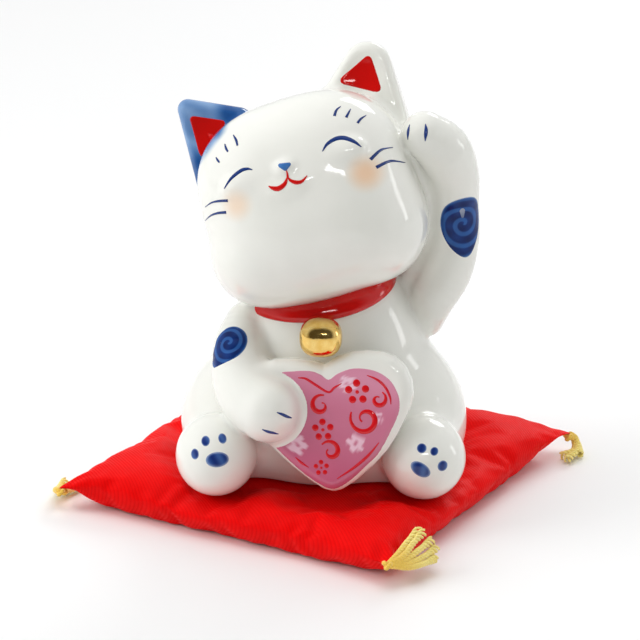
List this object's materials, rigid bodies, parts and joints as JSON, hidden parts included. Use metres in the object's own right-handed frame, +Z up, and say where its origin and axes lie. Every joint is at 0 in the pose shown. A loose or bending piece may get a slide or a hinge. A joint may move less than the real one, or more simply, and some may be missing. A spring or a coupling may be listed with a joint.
{
  "type": "ceramic cat figurine",
  "caption": "Seated porcelain beckoning cat with a raised paw, bell collar and heart tablet, on a loose square tasselled cushion.",
  "frame": {"origin": "on the floor, under the middle of the object's outline seen from above", "axes": "+Z up, the cat's body faces -Y, +X is on the side of the cat's raised (left) foreleg"},
  "size_m": [0.1151, 0.1119, 0.096],
  "materials": {
    "torso_casting": "clear gloss glaze over white porcelain",
    "head_casting": "clear gloss glaze over white porcelain",
    "raised_foreleg": "clear gloss glaze over white porcelain",
    "lowered_foreleg": "clear gloss glaze over white porcelain",
    "left_hind_foot": "clear gloss glaze over white porcelain",
    "right_hind_foot": "clear gloss glaze over white porcelain",
    "tail": "clear gloss glaze over white porcelain",
    "heart_tablet": "gloss glaze, pink enamel face with a white rim",
    "collar_band": "gloss red overglaze enamel",
    "bell": "bright liquid gold lustre over glaze",
    "cover_top_panel": "red twill weave",
    "cover_bottom_panel": "red twill weave",
    "cotton_filling": "loose cotton wadding",
    "tassel_front": "pale yellow twisted yarn",
    "tassel_right": "pale yellow twisted yarn",
    "tassel_left": "pale yellow twisted yarn",
    "tassel_back": "pale yellow twisted yarn"
  },
  "bodies": {
    "cushion": {"cover_top_panel": "cover_top_panel", "cover_bottom_panel": "cover_bottom_panel", "cotton_filling": "cotton_filling"},
    "figurine": {"torso_casting": "torso_casting", "head_casting": "head_casting", "raised_foreleg": "raised_foreleg", "lowered_foreleg": "lowered_foreleg", "left_hind_foot": "left_hind_foot", "right_hind_foot": "right_hind_foot", "tail": "tail", "heart_tablet": "heart_tablet", "collar_band": "collar_band", "bell": "bell"},
    "front_tassel": {"tassel_front": "tassel_front"},
    "right_tassel": {"tassel_right": "tassel_right"},
    "left_tassel": {"tassel_left": "tassel_left"},
    "back_tassel": {"tassel_back": "tassel_back"}
  },
  "joints": [
    {"name": "figurine_lift", "type": "slide", "parent": "cushion", "child": "figurine", "axis": [0, 0, 1], "range_m": [0, 0.12]},
    {"name": "tassel_front_swing", "type": "hinge", "parent": "cushion", "child": "front_tassel", "pos_m": [0.0194, -0.05479, 0.004], "axis": [0, 0, 1], "range_deg": [-90, 0]},
    {"name": "tassel_right_swing", "type": "hinge", "parent": "cushion", "child": "right_tassel", "pos_m": [0.05479, 0.0194, 0.004], "axis": [0, 0, 1], "range_deg": [0, 90]},
    {"name": "tassel_left_swing", "type": "hinge", "parent": "cushion", "child": "left_tassel", "pos_m": [-0.05479, -0.0194, 0.004], "axis": [0, 0, 1], "range_deg": [0, 90]},
    {"name": "tassel_back_swing", "type": "hinge", "parent": "cushion", "child": "back_tassel", "pos_m": [-0.0194, 0.05479, 0.004], "axis": [0, 0, 1], "range_deg": [-90, 0]}
  ]
}
